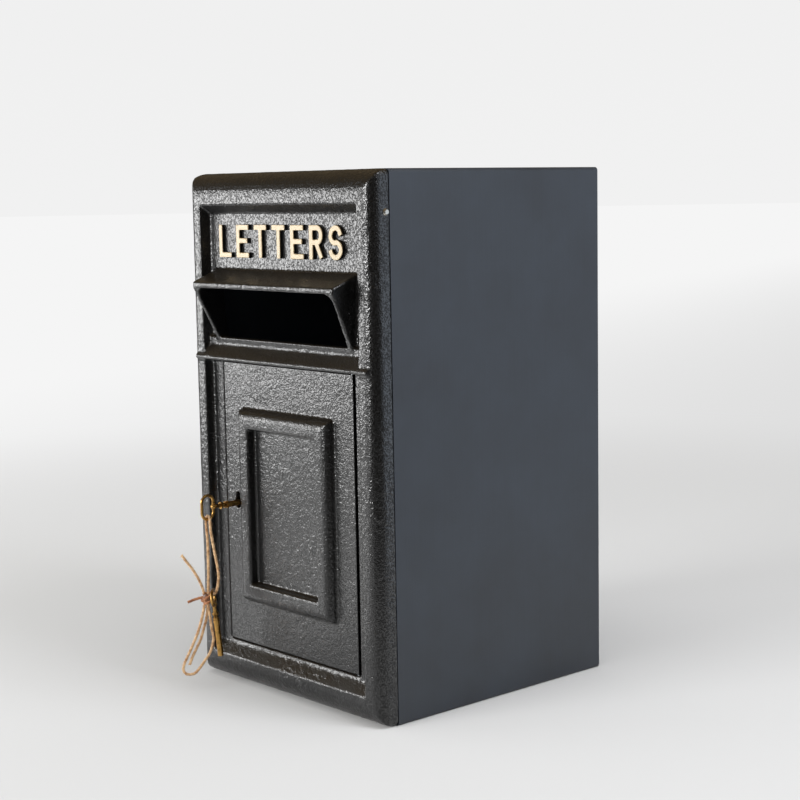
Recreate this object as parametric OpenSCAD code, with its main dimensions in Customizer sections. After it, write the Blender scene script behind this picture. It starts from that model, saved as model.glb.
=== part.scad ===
// Letter box: a cast-iron front with a hooded slot and a locked door, screwed to a
// folded sheet-steel body. Millimetres. Z is up, the front faces -Y, and the origin
// is the centre of the body's underside.

/* [Body] */
// Width of the body and of the front casting
box_w = 246; // [236:2:270]
// Height of the body and of the front casting
box_h = 450; // [440:5:500]
// Depth of the sheet body, from the casting to the back
body_d = 244; // [160:2:300]
// Thickness of the sheet steel
sheet_t = 1.5; // [1:0.25:2.5]
// Outside radius of the body's folds
fold_r = 3; // [2.8:0.1:5]
// Depth of the flanges of the back plate
back_flange = 12; // [8:1:20]
// Distance across between the wall fixing holes
fix_x = 160; // [80:5:200]
// Distance up between the wall fixing holes
fix_z = 340; // [200:10:380]
// Diameter of the wall fixing holes
fix_hole_d = 8; // [5:0.5:10]

/* [Front casting] */
// How far the rim stands in front of the body
front_t = 20; // [18:0.5:24]
// Corner radius of the casting, seen from the front
corner_r = 5; // [3.5:0.5:9]
// Rounding of the rim's outer edge
edge_r = 11; // [8:0.5:12]
// Rounding of the casting's lower front edge
foot_r = 18; // [14:0.5:18]
// Rounding of the casting's upper front edge
top_r = 18; // [14:0.5:18]
// Thickness of the casting's front wall
wall_t = 5; // [4:0.25:5.5]
// Thickness of the casting's side flange
flange_t = 6; // [5:0.25:7]
// Width of the rim beside the door, from the casting's side to the crest's inner edge
rim_w = 18.5; // [17:0.25:19]
// Width of the slope on the inner side of the rim beside the door
rim_slope = 1; // [0.5:0.25:2]
// Depth of the channel behind the rim, from the back of the casting
channel_d = 14; // [12:0.5:14.5]
// Width of the channel behind the rim
channel_w = 7; // [6:0.25:7.5]

/* [Letter panel] */
// Width of the rim beside the letter panel
panel_rim_w = 17.5; // [16:0.25:18.5]
// Width of the slope on the inner side of the rim beside the letter panel
panel_slope = 3; // [1:0.25:4]
// Depth of the letter panel below the rim's crest
panel_sink = 9; // [8.5:0.25:10]
// Height of the top rim, down to the slope above the letter panel
top_rim_h = 27; // [24:1:30]
// Height of the slope above the letter panel
top_slope_h = 7; // [5:0.5:9]

/* [Hood and slot] */
// Width of the hood at its lip
hood_w = 192; // [184:1:200]
// How much narrower each cheek of the hood is at its foot
hood_taper = 4; // [2:0.5:6]
// Height of the hood's root above the base
hood_root_z = 367; // [362:1:372]
// How far the lip stands in front of the letter panel
hood_reach = 26; // [20:1:34]
// Drop from the hood's root to the top of the lip
hood_drop = 10; // [6:0.5:12]
// Height of the lip's front edge
lip_t = 5; // [4:0.25:6]
// Thickness of the hood's cheeks
cheek_t = 5; // [4:0.25:6]
// Radius of the slot's upper corners
slot_r = 8; // [4:0.5:12]
// Height of the slot's lower edge above the base
slot_z = 308; // [307:0.5:310]

/* [Sill bar] */
// Width of the bar below the slot
bar_w = 232; // [224:1:236]
// How far the bar stands in front of the rim
bar_proud = 2; // [1:0.25:4]
// Height of the bar's lower edge above the base
bar_z = 288; // [287.5:0.25:289]
// Height of the bar's front edge
bar_edge = 3; // [2:0.25:4]
// Height of the slope on top of the bar
bar_slope_h = 10; // [8:0.5:11]
// Depth of the face between the slot and the bar, below the rim's crest
sill_sink = 6; // [5:0.25:7]

/* [Door opening] */
// Depth of the land round the door below the rim's crest
land_sink = 8; // [7:0.25:8.5]
// Height of the slope below the door
low_slope_h = 10; // [8:0.5:11]
// Height of the land's lower edge above the base
land_z = 34; // [33:0.5:34.5]
// How far the stop ledge reaches in behind the door
stop_reach = 4; // [3:0.25:4.5]
// Depth of the stop ledge, front to back
stop_t = 5.2; // [4:0.2:5.4]
// Gap between the shut door and its stop ledge
stop_gap = 0.3; // [0.2:0.05:0.5]

/* [Door] */
// Width of the door
door_w = 175; // [170:0.5:177]
// Height of the door
door_h = 248; // [244:0.5:248.5]
// Height of the door's lower edge above the base
door_z = 38; // [37.5:0.25:38.5]
// Distance of the door's hinge edge from the side of the casting
door_margin = 35; // [34:0.5:37]
// Thickness of the door plate
door_t = 6; // [5.5:0.25:6.5]
// Gap between the door and its opening at the lock side, top and bottom
door_gap = 1; // [0.8:0.1:1.4]
// Gap between the door and its opening at the hinge side
hinge_gap = 2.5; // [2:0.1:3]
// Width of the raised moulding's frame
mould_w = 125; // [110:1:127]
// Height of the raised moulding's frame
mould_h = 170; // [140:1:190]
// Distance of the moulding from the door's hinge edge
mould_margin = 25.5; // [24:0.5:40]
// Height of the moulding's lower edge above the base
mould_z = 77; // [60:1:80]
// Width of the moulding
mould_t = 17; // [14:0.5:18]
// Rounding of the moulding's outer side, and its height
mould_r = 8.3; // [6:0.1:8.4]
// Rounding of the moulding's inner edge
mould_in_r = 2.5; // [1:0.25:4]
// Corner radius of the moulding's frame
mould_corner_r = 3; // [1:0.5:5]

/* [Hinge] */
// Diameter of the hinge pins
pin_d = 5; // [4:0.25:5.5]
// Radial running clearance of the pins in the door
pin_clear = 0.05; // [0.02:0.01:0.09]
// Distance of the hinge axis from the door's edge
pin_inset = 4; // [4:0.1:4.5]
// Radius of the door's knuckles
knuckle_r = 4.4; // [3.9:0.1:4.4]
// Length of each knuckle
knuckle_h = 24; // [18:1:40]
// How far each pin reaches into the door
pin_reach = 14; // [10:0.5:17]
// Length of the pin lugs on the casting
pin_lug_h = 13; // [10:0.5:13]
// Width of the pin lugs on the casting
pin_lug_w = 12; // [10:0.5:13]

/* [Fixing lugs and screws] */
// Thickness of the lugs
lug_t = 3; // [2:0.25:3]
// Length of the lugs along the sheet
lug_w = 30; // [20:1:40]
// How far the lugs reach into the casting
lug_reach = 10; // [8:0.5:11]
// Length of the lugs' welded pad
lug_pad = 20; // [15:1:30]
// Gap between a lug and the casting's flange
lug_gap = 0.3; // [0.2:0.05:0.5]
// Distance of the side screws below the top of the box
side_screw_drop = 34; // [32:1:70]
// Distance of each bottom screw from the middle
bottom_screw_x = 70; // [40:1:85]
// Distance of the screws in front of the body
screw_in = 4; // [3.5:0.1:5]
// Shank diameter of the fixing screws
screw_d = 3.5; // [2.5:0.25:4]
// Head diameter of the fixing screws
screw_head_d = 6; // [5:0.25:6.5]
// Head height of the side screws
screw_head_t = 1.6; // [1:0.1:2.5]

/* [Lock] */
// Distance of the key's axis from the door's lock edge
key_inset = 15; // [15:0.25:18]
// Height of the key's axis above the base
key_z = 162; // [150:1:200]
// Width of the lock's plate
lock_w = 44; // [42:0.5:50]
// Height of the lock's plate
lock_h = 44; // [42:0.5:50]
// Distance of the lock's plate from the door's lock edge
lock_inset = 5; // [4.5:0.25:5]
// Thickness of the lock's plate
plate_t = 1.5; // [1:0.1:1.8]
// Depth of the lock's case
case_d = 14; // [14:0.25:16]
// Wall of the lock's case
case_t = 1.2; // [0.8:0.1:1.4]
// Width of the lock's case
case_w = 38; // [37.5:0.25:40]
// Height of the lock's case
case_h = 31; // [30:0.25:31]
// Throw of the bolt
bolt_throw = 8; // [6:0.5:8]
// Thickness of the bolt
bolt_t = 3; // [2:0.1:3.2]
// Height of the bolt
bolt_h = 9.5; // [9:0.1:9.8]
// Length of the bolt
bolt_l = 36; // [34:0.25:36]
// Half the width of the bolt's notch for the key
notch_r = 3.5; // [3.5:0.1:4]
// Depth of the bolt's notch
notch_h = 6.5; // [5.5:0.1:6.6]
// Gap between the moving pieces of the lock
lock_gap = 0.3; // [0.2:0.05:0.4]
// Thickness of the leaf that presses on the bolt
leaf_t = 0.6; // [0.4:0.1:0.8]
// Diameter of the bolt's guide post
post_d = 3; // [2:0.1:3]
// Diameter of the screws that hold the lock
lock_screw_d = 2.8; // [2:0.1:3]

/* [Key] */
// Distance from the middle of the bow to the tip of the key
key_l = 52.2; // [51.5:0.1:52.4]
// Width of the bow along the key
bow_l = 14.8; // [13:0.1:16]
// Width of the bow across the key
bow_w = 23.6; // [20:0.1:26]
// Diameter of the bow's wire
bow_wire = 2.6; // [2:0.1:3]
// Diameter of the key's barrel
barrel_d = 5.2; // [4.6:0.1:5.6]
// Diameter of the hole in the key's barrel
barrel_bore_d = 3; // [2.5:0.1:3.2]
// Depth of the hole in the key's barrel
barrel_bore_l = 18; // [14:1:22]
// Radial clearance of the key on the lock's drill pin
drill_clear = 0.08; // [0.04:0.01:0.1]
// Distance from the key's axis to the edge of the bit
bit_r = 8; // [7:0.1:8]
// Length of the bit along the key
bit_l = 6.5; // [6:0.1:6.6]
// Thickness of the bit
bit_t = 2.4; // [2:0.1:2.6]
// Distance from the tip of the key to the bit
bit_tip = 1.2; // [1:0.1:1.6]

/* [Hidden] */
$fn = 48;

// Steps in a quarter circle of an outline
arc_steps = 8;
// How far a cut runs past the surface that it opens
over = 2;

// Planes across the box, from the front to the back
seam_y = -body_d / 2;
crest_y = seam_y - front_t;
panel_y = crest_y + panel_sink;
land_y = crest_y + land_sink;
sill_y = crest_y + sill_sink;
hollow_y = panel_y + wall_t;
door_back_y = land_y + door_t;
lip_y = panel_y - hood_reach;
bar_y = crest_y - bar_proud;
stop_y = door_back_y + stop_gap;

// Outlines of the recesses in the front
land_x = box_w / 2 - rim_w - rim_slope;
panel_x = box_w / 2 - panel_rim_w - panel_slope;
panel_top_z = box_h - top_rim_h - top_slope_h;
bar_top_z = bar_z + bar_edge + bar_slope_h;
low_crest_z = land_z - low_slope_h;
side_screw_z = box_h - side_screw_drop;

// The slot, which runs straight through under the hood's lip
lip_z = hood_root_z - hood_drop;
slot_top_z = lip_z - lip_t;
slot_half = hood_w / 2 - cheek_t;

// The door and its opening
door_edge_x = box_w / 2 - door_margin;
door_left = door_edge_x - door_w;
door_top = door_z + door_h;
open_left = door_left - door_gap;
open_right = door_edge_x + hinge_gap;
open_z = door_z - door_gap;
open_top = door_top + door_gap;
pin_x = door_edge_x - pin_inset;
pin_y = land_y + knuckle_r + 0.1;
swing_r = knuckle_r + 3;

// The lock, from the door's inner face
key_x = door_left + key_inset;
plate_back_y = door_back_y + plate_t;
case_back_y = plate_back_y + case_d;
lock_x = door_left + lock_inset;
case_x = lock_x + 0.2;
case_z = key_z - case_h / 2;
bolt_y = stop_y + stop_t + 1;
bolt_z = key_z + barrel_d / 2 + 0.4;
bolt_x = lock_x;
post_x = key_x + notch_r + 8.5;
post_z = bolt_z + bolt_h / 2;

// The key and what is cut for it
tip_y = case_back_y - case_t - lock_gap - 0.8;
bow_y = tip_y - key_l;
keyhole_r = barrel_d / 2 + 1.8;
keyhole_slot = bit_t + 2.4;
ward_r = 5;
ward_t = 0.9;
ward_l = 3.6;

// The twine: its thickness, the points that it follows, and where the door key's bow is
// when it follows them
twine_d = 2.5;
twine_sides = 8;
drawn_from = [-72, -167, 162];
knot_at = [-71, -171, 82];
loop_route = [
    [-71.4, -169.8, 86], [-71, -169.6, 95], [-71, -169, 105], [-71.5, -168.5, 115], [-72, -168, 125],
    [-73, -167.5, 134], [-74.5, -167, 142], [-75, -167, 148], [-74.6, -167, 152.5], [-73, -167, 154.4],
    [-71, -167, 154.4], [-69.4, -167, 152.5], [-69, -167, 148], [-68.5, -167, 142], [-67, -166.5, 133],
    [-65.5, -165.5, 122], [-64, -164.5, 112], [-63, -164, 103], [-63.5, -164.5, 95], [-64.2, -165.1, 91],
    [-64.9, -165.8, 88], [-66.2, -167, 86.7], [-67.3, -168.1, 86.6], [-68.6, -169.3, 85.6],
];
bow_route = [
    [-72.4, -172.8, 79], [-73.6, -174, 70], [-75.2, -175.4, 62], [-77, -178, 52], [-80, -181, 42],
    [-83, -184, 33], [-86, -187, 24], [-86.5, -188, 18], [-84, -186, 14.5], [-80, -181, 15],
    [-77, -177, 20], [-74, -174, 26], [-71, -171, 32], [-69, -169, 39], [-68, -168, 47],
    [-69, -169, 56], [-69.6, -169.6, 65], [-69.6, -171, 73], [-69.4, -171.4, 79],
];
low_tail_route = [
    [-72.6, -169.6, 79], [-73.2, -169.8, 72], [-74, -171, 63], [-75.5, -173, 54], [-77.5, -175, 45],
    [-80, -178, 37], [-82.5, -181, 29], [-84, -183, 22.5],
];
high_tail_route = [
    [-73.4, -172.4, 86], [-74.6, -174, 93], [-76, -176.5, 100], [-79, -180, 108], [-82, -184, 115],
    [-85, -187, 121],
];
stub_route = [[-74, -173, 83], [-77, -177, 82], [-80, -181, 80.5], [-82, -184, 79]];

// Where the spare key hangs, which way its bit points, and how far it leans
spare_at = [-67, -167.5, 83];
spare_turn = 48;
spare_lean = 5.5;

iron = "#1b1c1d";
painted_steel = "#2f353b";
zinc = "#b9bcc0";
steel = "#8d9196";
brass = "#b08a3e";
jute = "#c39a5f";

// Points on an arc from angle a to angle b
function arc(centre, r, a, b, steps = arc_steps) =
    [for (i = [0:steps]) let (t = a + (b - a) * i / steps) centre + r * [cos(t), sin(t)]];

// The cross product's unit direction, and a ring of points round a point of a route
function unit(v) = v / norm(v);
function route_dir(p, i) = unit(p[min(i + 1, len(p) - 1)] - p[max(i - 1, 0)]);
function ring_side(d) = unit(cross(d, [0.6, -0.8, 0.01]));
function ring(p, i, r, sides) =
    let (d = route_dir(p, i), u = ring_side(d), v = cross(d, u))
    [for (k = [0:sides - 1]) p[i] + r * (cos(360 * k / sides) * u + sin(360 * k / sides) * v)];

// An outline drawn in X and Y, and run upwards
module up(from, to) {
    translate([0, 0, from]) linear_extrude(to - from) children();
}

// An outline drawn in X and Z, and run from front to back
module back(from, to) {
    translate([0, to, 0]) rotate([90, 0, 0]) linear_extrude(to - from) children();
}

// An outline drawn in Y and Z, and run from left to right
module across(from, to) {
    translate([from, 0, 0]) rotate([90, 0, 90]) linear_extrude(to - from) children();
}

// A box given by two opposite corners
module block(low, high) {
    translate(low) cube(high - low);
}

// A rectangle with round corners, given by two opposite corners
module round_outline(low, high, r) {
    polygon(concat(
        arc([high[0] - r, high[1] - r], r, 0, 90),
        arc([low[0] + r, high[1] - r], r, 90, 180),
        arc([low[0] + r, low[1] + r], r, 180, 270),
        arc([high[0] - r, low[1] + r], r, 270, 360)
    ));
}

// A rod along Y, given by the middle of its front end
module rod_back(at, d, l) {
    translate(at) rotate([-90, 0, 0]) cylinder(d = d, h = l);
}

// Half of a piece, and its mirror image
module both_sides() {
    children();
    mirror([1, 0, 0]) children();
}

// The casting before anything is sunk into it: three outlines that meet in mitred corners
module front_blank() {
    intersection() {
        back(crest_y, seam_y)
            round_outline([-box_w / 2, 0], [box_w / 2, box_h], corner_r);
        up(0, box_h) polygon(concat(
            [[-box_w / 2, seam_y]],
            arc([-box_w / 2 + edge_r, crest_y + edge_r], edge_r, 180, 270),
            arc([box_w / 2 - edge_r, crest_y + edge_r], edge_r, 270, 360),
            [[box_w / 2, seam_y]]
        ));
        across(-box_w / 2, box_w / 2) polygon(concat(
            [[seam_y, box_h]],
            arc([crest_y + top_r, box_h - top_r], top_r, 90, 180),
            arc([crest_y + foot_r, foot_r], foot_r, 180, 270),
            [[seam_y, 0]]
        ));
    }
}

// A sunk panel with sloping sides, down to the plane floor_y
module sunk(floor_y, half, side_slope, low, high, low_slope, high_slope) {
    reach = (crest_y - over - floor_y) / (crest_y - floor_y);
    intersection() {
        up(low - low_slope * reach, high + high_slope * reach) polygon([
            [-half, floor_y], [half, floor_y],
            [half + side_slope * reach, crest_y - over],
            [-half - side_slope * reach, crest_y - over],
        ]);
        across(-box_w / 2, box_w / 2) polygon([
            [floor_y, low], [floor_y, high],
            [crest_y - over, high + high_slope * reach],
            [crest_y - over, low - low_slope * reach],
        ]);
    }
}

// The hood: a wedge with a thin lip, a little narrower at its foot
module hood() {
    intersection() {
        across(-hood_w / 2, hood_w / 2) polygon([
            [panel_y + 1, hood_root_z], [panel_y, hood_root_z], [lip_y, lip_z], [lip_y, slot_top_z],
            [sill_y, slot_z - 4], [panel_y + 1, slot_z - 4],
        ]);
        back(lip_y - 1, panel_y + 1) polygon([
            [-hood_w / 2, hood_root_z], [hood_w / 2, hood_root_z],
            [hood_w / 2 - hood_taper, slot_z - 4], [-hood_w / 2 + hood_taper, slot_z - 4],
        ]);
    }
}

// The slot's outline, with round upper corners
module slot_outline() {
    polygon(concat(
        arc([slot_half - slot_r, slot_top_z - slot_r], slot_r, 0, 90),
        arc([-slot_half + slot_r, slot_top_z - slot_r], slot_r, 90, 180),
        [[-slot_half + hood_taper, slot_z], [slot_half - hood_taper, slot_z]]
    ));
}

// The bar below the slot, which laps over the rim at both ends
module sill_bar() {
    across(-bar_w / 2, bar_w / 2) polygon([
        [panel_y + 1, bar_z], [bar_y + 1, bar_z], [bar_y, bar_z + 1],
        [bar_y, bar_z + bar_edge], [sill_y, bar_top_z], [sill_y, slot_z], [panel_y + 1, slot_z],
    ]);
}

// The ledge that the door shuts against, at the lock side, top and bottom
module stop_ledge() {
    back(min(hollow_y, door_back_y) - 0.5, stop_y + stop_t) difference() {
        polygon([
            [open_left - 7, open_z - 6], [pin_x - swing_r, open_z - 6],
            [pin_x - swing_r, open_top + 6], [open_left - 7, open_top + 6],
        ]);
        polygon([
            [open_left + stop_reach, open_z + stop_reach], [pin_x, open_z + stop_reach],
            [pin_x, open_top - stop_reach], [open_left + stop_reach, open_top - stop_reach],
        ]);
    }
}

module pin_lug(from, to) {
    block([pin_x - pin_lug_w / 2, land_y + 0.5, from], [pin_x + pin_lug_w / 2, pin_y + 6, to]);
}

module front_casting() {
    color(iron) difference() {
        union() {
            difference() {
                front_blank();
                sunk(panel_y, panel_x, panel_slope, bar_top_z, panel_top_z, 0, top_slope_h);
                sunk(land_y, land_x, rim_slope, land_z, bar_top_z, low_slope_h, 0);
                back(hollow_y, seam_y + 1) round_outline(
                    [-box_w / 2 + flange_t, flange_t], [box_w / 2 - flange_t, box_h - flange_t], corner_r
                );
            }
            hood();
            sill_bar();
            stop_ledge();
            pin_lug(open_z - pin_lug_h, open_z);
            pin_lug(open_top, open_top + pin_lug_h);
        }
        back(lip_y - 2, seam_y) slot_outline();
        back(crest_y - over, stop_y)
            polygon([[open_left, open_z], [open_right, open_z], [open_right, open_top], [open_left, open_top]]);
        both_sides() block(
            [box_w / 2 - flange_t - channel_w, seam_y - channel_d, land_z + 10],
            [box_w / 2 - flange_t, seam_y + 1, side_screw_z + lug_w / 2 + 1]
        );
        block(
            [-bottom_screw_x - lug_w / 2 - 1, seam_y - channel_d + 1, flange_t],
            [bottom_screw_x + lug_w / 2 + 1, seam_y + 1, flange_t + channel_w]
        );
        translate([pin_x, pin_y, open_z - pin_lug_h - 1]) cylinder(d = pin_d, h = pin_lug_h + 2);
        translate([pin_x, pin_y, open_top - 1]) cylinder(d = pin_d, h = pin_lug_h + 1);
        both_sides() {
            translate([box_w / 2 - flange_t - 1, seam_y - screw_in, side_screw_z])
                rotate([0, 90, 0]) cylinder(d = screw_d + 0.3, h = flange_t + 2);
            translate([bottom_screw_x, seam_y - screw_in, -1])
                cylinder(d = screw_d + 0.3, h = flange_t + 2);
            translate([bottom_screw_x, seam_y - screw_in, -0.01])
                cylinder(d1 = screw_head_d + 1.4, d2 = screw_d + 0.4, h = 2.6);
        }
    }
}

// The body is one sheet, folded at four corners into a tube
module body_wrap() {
    color(painted_steel) back(seam_y, body_d / 2) difference() {
        round_outline([-box_w / 2, 0], [box_w / 2, box_h], fold_r);
        round_outline(
            [-box_w / 2 + sheet_t, sheet_t], [box_w / 2 - sheet_t, box_h - sheet_t], fold_r - sheet_t
        );
    }
}

// A tray whose flanges are welded inside the body
module back_plate() {
    out = [box_w / 2 - sheet_t, box_h - sheet_t];
    color(painted_steel) difference() {
        back(body_d / 2 - back_flange, body_d / 2)
            round_outline([-out[0], sheet_t], out, fold_r - sheet_t);
        back(body_d / 2 - back_flange - 1, body_d / 2 - sheet_t)
            round_outline([-out[0] + sheet_t, 2 * sheet_t], out - [sheet_t, sheet_t], 1);
        for (x = [-1, 1], z = [-1, 1])
            rod_back([x * fix_x / 2, body_d / 2 - sheet_t - 1, box_h / 2 + z * fix_z / 2], fix_hole_d, sheet_t + 2);
    }
}

// A joggled strip: its pad is welded to the sheet, and its tongue lies behind the flange
module lug_outline() {
    step = flange_t + lug_gap - sheet_t;
    polygon([
        [-lug_reach, step], [1, step], [6, 0], [6 + lug_pad, 0],
        [6 + lug_pad, lug_t], [7, lug_t], [2, step + lug_t], [-lug_reach, step + lug_t],
    ]);
}

module fixing_lugs() {
    color(painted_steel) {
        both_sides() translate([box_w / 2 - sheet_t, seam_y, side_screw_z - lug_w / 2])
            difference() {
                linear_extrude(lug_w) rotate(90) lug_outline();
                translate([0, -screw_in, lug_w / 2]) rotate([0, -90, 0]) cylinder(d = screw_d, h = 2 * lug_reach);
            }
        both_sides() translate([bottom_screw_x, seam_y, sheet_t])
            difference() {
                across(-lug_w / 2, lug_w / 2) lug_outline();
                translate([0, -screw_in, 0]) cylinder(d = screw_d, h = 2 * lug_reach);
            }
    }
}

module side_screws() {
    color(zinc) both_sides() translate([box_w / 2, seam_y - screw_in, side_screw_z])
        rotate([0, 90, 0]) {
            cylinder(d1 = screw_head_d, d2 = screw_head_d * 0.6, h = screw_head_t);
            translate([0, 0, -flange_t - lug_gap - lug_t]) cylinder(d = screw_d, h = flange_t + lug_gap + lug_t);
        }
}

module bottom_screws() {
    color(zinc) both_sides() translate([bottom_screw_x, seam_y - screw_in, 0.6]) {
        cylinder(d1 = screw_head_d, d2 = screw_d, h = 1.7);
        cylinder(d = screw_d, h = flange_t + lug_gap + lug_t - 0.6);
    }
}

module upper_hinge_pin() {
    color(steel) translate([pin_x, pin_y, door_top - pin_reach])
        cylinder(d = pin_d, h = pin_reach + door_gap + pin_lug_h);
}

module lower_hinge_pin() {
    color(steel) translate([pin_x, pin_y, open_z - pin_lug_h])
        cylinder(d = pin_d, h = pin_lug_h + door_gap + pin_reach);
}

// The moulding's outside, across its frame from one side to the other
module mould_band(low, high) {
    polygon(concat(
        [[low, land_y + 1]],
        arc([low + mould_r, land_y], mould_r, 180, 270),
        arc([high - mould_r, land_y], mould_r, 270, 360),
        [[high, land_y + 1]]
    ));
}

// What is left out between the moulding's inner sides
module mould_pocket(low, high) {
    crown_y = land_y - mould_r;
    polygon(concat(
        [[low + mould_t, land_y]],
        arc([low + mould_t - mould_in_r, crown_y + mould_in_r], mould_in_r, 360, 270),
        [[low + mould_t - mould_in_r, crown_y - over], [high - mould_t + mould_in_r, crown_y - over]],
        arc([high - mould_t + mould_in_r, crown_y + mould_in_r], mould_in_r, 270, 180),
        [[high - mould_t, land_y]]
    ));
}

// A raised frame: round outside, flat on top and steep inside, with mitred corners
module moulding() {
    left = door_edge_x - mould_margin - mould_w;
    right = door_edge_x - mould_margin;
    difference() {
        intersection() {
            up(mould_z, mould_z + mould_h) mould_band(left, right);
            across(left, right) mirror([1, -1]) mould_band(mould_z, mould_z + mould_h);
            back(land_y - mould_r - 1, land_y + 1)
                round_outline([left, mould_z], [right, mould_z + mould_h], mould_corner_r);
        }
        intersection() {
            up(mould_z, mould_z + mould_h) mould_pocket(left, right);
            across(left, right) mirror([1, -1]) mould_pocket(mould_z, mould_z + mould_h);
        }
    }
}

module keyhole_outline(r, slot_w) {
    translate([key_x, key_z]) {
        circle(r);
        translate([-slot_w / 2, 0]) square([slot_w, bit_r + 1.5]);
    }
}

module door_casting() {
    color(iron) difference() {
        union() {
            block([door_left, land_y, door_z], [door_edge_x, door_back_y, door_top]);
            moulding();
            for (z = [door_z, door_top - knuckle_h])
                translate([pin_x, pin_y, z]) cylinder(r = knuckle_r, h = knuckle_h);
        }
        for (z = [door_z - 1, door_top - pin_reach - 1])
            translate([pin_x, pin_y, z]) cylinder(d = pin_d + 2 * pin_clear, h = pin_reach + 2);
        back(land_y - 1, door_back_y + 1) keyhole_outline(keyhole_r, keyhole_slot);
        lock_screw_places() rod_back([0, door_back_y - 3.5, 0], lock_screw_d, 4);
    }
}

module lock_screw_places() {
    for (x = [lock_x + 5, lock_x + lock_w - 5], z = [-1, 1])
        translate([x, 0, key_z + z * (lock_h / 2 - 3)]) children();
}

module lock_plate() {
    color(steel) difference() {
        block([lock_x, door_back_y, key_z - lock_h / 2], [lock_x + lock_w, plate_back_y, key_z + lock_h / 2]);
        back(door_back_y - 1, plate_back_y + 1) keyhole_outline(barrel_d / 2 + 0.5, bit_t + 1);
        lock_screw_places() rod_back([0, door_back_y - 1, 0], lock_screw_d, plate_t + 2);
    }
}

module lock_case() {
    color(steel) difference() {
        block([case_x, plate_back_y, case_z], [case_x + case_w, case_back_y, case_z + case_h]);
        block(
            [case_x + case_t, plate_back_y - 1, case_z + case_t],
            [case_x + case_w - case_t, case_back_y - case_t, case_z + case_h - case_t]
        );
        block(
            [case_x - 1, bolt_y - lock_gap, bolt_z - lock_gap],
            [case_x + case_t + 1, bolt_y + bolt_t + lock_gap, bolt_z + bolt_h + lock_gap]
        );
    }
}

// A ring on the case's back that only a key with the right notch can turn round
module lock_ward() {
    color(steel) difference() {
        rod_back([key_x, case_back_y - case_t - ward_l, key_z], 2 * ward_r + ward_t, ward_l);
        rod_back([key_x, case_back_y - case_t - ward_l - 1, key_z], 2 * ward_r - ward_t, ward_l + 2);
    }
}

module drill_pin() {
    color(steel) rod_back(
        [key_x, case_back_y - case_t - 12, key_z], barrel_bore_d - 2 * drill_clear, 12
    );
}

module guide_post() {
    color(steel) rod_back([post_x, plate_back_y, post_z], post_d, case_back_y - case_t - plate_back_y);
}

// A leaf that lies along the bolt's top edge
module bolt_spring() {
    top = case_z + case_h - case_t;
    low = bolt_z + bolt_h + lock_gap;
    right = case_x + case_w - case_t;
    color(zinc) back(bolt_y + 0.4, bolt_y + bolt_t - 0.4) polygon([
        [right - 0.08 * case_w, top], [right, top], [right, top - leaf_t],
        [right - 0.16 * case_w, top - leaf_t], [right - 0.64 * case_w, low],
        [right - 0.7 * case_w, low], [right - 0.7 * case_w, low + leaf_t], [right - 0.64 * case_w, low + leaf_t],
    ]);
}

module lock_screws() {
    color(zinc) lock_screw_places() {
        rod_back([0, door_back_y - 3.2, 0], lock_screw_d, 3.2 + plate_t);
        translate([0, plate_back_y, 0]) rotate([-90, 0, 0]) cylinder(d1 = 4.6, d2 = 3.4, h = 1.2);
    }
}

module lock_bolt() {
    color(steel) difference() {
        block([bolt_x, bolt_y, bolt_z], [bolt_x + bolt_l, bolt_y + bolt_t, bolt_z + bolt_h]);
        block(
            [key_x - notch_r, bolt_y - 1, bolt_z - 1], [key_x + notch_r, bolt_y + bolt_t + 1, bolt_z + notch_h]
        );
        back(bolt_y - 1, bolt_y + bolt_t + 1) {
            for (x = [0, bolt_throw]) translate([post_x + x, post_z]) circle(d = post_d + 2 * lock_gap);
            translate([post_x, post_z - post_d / 2 - lock_gap]) square([bolt_throw, post_d + 2 * lock_gap]);
        }
    }
}

// The bow: a ring with straight sides, in the plane of the bit
module key_bow() {
    r = (bow_l - bow_wire) / 2;
    straight = (bow_w - bow_l) / 2;
    rotate([90, 0, 90]) {
        for (side = [0, 180]) rotate(side) translate([0, straight])
            rotate_extrude(angle = 180) translate([r, 0]) circle(d = bow_wire, $fn = 24);
        for (x = [-r, r]) translate([x, -straight, 0])
            rotate([-90, 0, 0]) cylinder(d = bow_wire, h = 2 * straight, $fn = 24);
    }
}

// A key along +Y with its bow at the origin and its bit upwards
module key_shape() {
    // Each turned length of the shank: where it starts and ends, as shares of the key's
    // length, and its diameter, as a share of the barrel's
    turned = [
        [0.105, 0.257, 0.69], [0.257, 0.295, 1.115], [0.295, 0.356, 0.77], [0.356, 0.372, 1.077],
        [0.387, 0.421, 1.192], [0.345, 1, 1],
    ];
    difference() {
        union() {
            key_bow();
            translate([0, bow_l / 2 - 1, 0]) sphere(d = barrel_d, $fn = 32);
            for (t = turned) rod_back([0, t[0] * key_l, 0], t[2] * barrel_d, (t[1] - t[0]) * key_l);
            block([-bit_t / 2, key_l - bit_tip - bit_l, 0], [bit_t / 2, key_l - bit_tip, bit_r]);
        }
        rod_back([0, key_l - barrel_bore_l, 0], barrel_bore_d, barrel_bore_l + 1);
        block(
            [-bit_t, key_l - bit_tip - 1.9, ward_r - ward_t / 2 - lock_gap],
            [bit_t, key_l, ward_r + ward_t / 2 + lock_gap]
        );
    }
}

module door_key() {
    color(brass) translate([key_x, bow_y, key_z]) key_shape();
}

// What is tied together: it hangs from the door key, wherever that is
module tied() {
    translate([key_x, bow_y, key_z] - drawn_from) children();
}

module spare_key() {
    color(brass) tied() translate(spare_at)
        rotate(a = spare_lean, v = [sin(spare_turn), -cos(spare_turn), 0])
        rotate([0, 0, spare_turn]) rotate([-90, 0, 0]) key_shape();
}

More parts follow.
